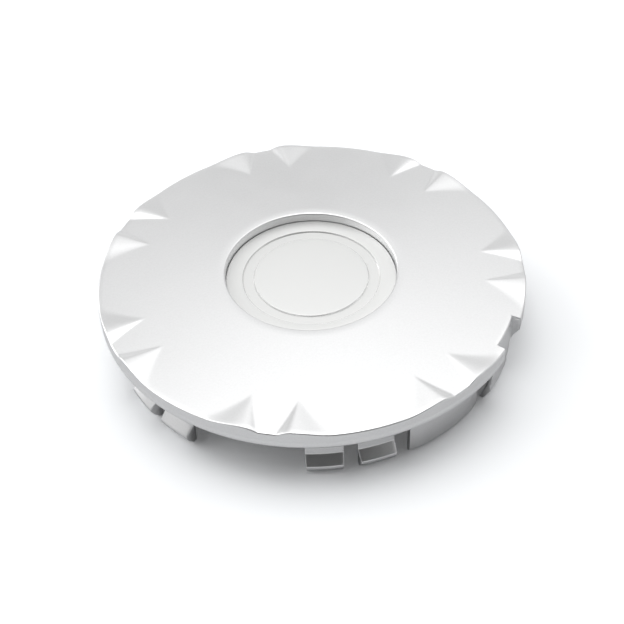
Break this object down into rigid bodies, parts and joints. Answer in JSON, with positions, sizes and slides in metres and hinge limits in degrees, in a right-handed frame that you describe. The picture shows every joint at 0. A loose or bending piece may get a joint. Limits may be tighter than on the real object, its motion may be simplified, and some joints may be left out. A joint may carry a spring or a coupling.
{
  "type": "wheel centre cap",
  "caption": "Round snap-in centre cap for an alloy wheel: shallow dome with paired flutes at the rim, pry notch, plain medallion, clips and locating walls behind",
  "frame": {"origin": "on the cap's axis, in the plane of the clip feet that it stands on", "axes": "+Z along the axis from the clips to the face, +X along the first pair of flutes, +Y the rest of a right-handed set"},
  "size_m": [0.168, 0.168, 0.0324],
  "materials": {
    "silver_paint": "moulded ABS plastic with satin silver metallic paint",
    "bright_trim": "satin bright metal with a polished sunken ring"
  },
  "bodies": {
    "root": {"cap_body": "silver_paint", "medallion": "bright_trim"}
  },
  "joints": []
}
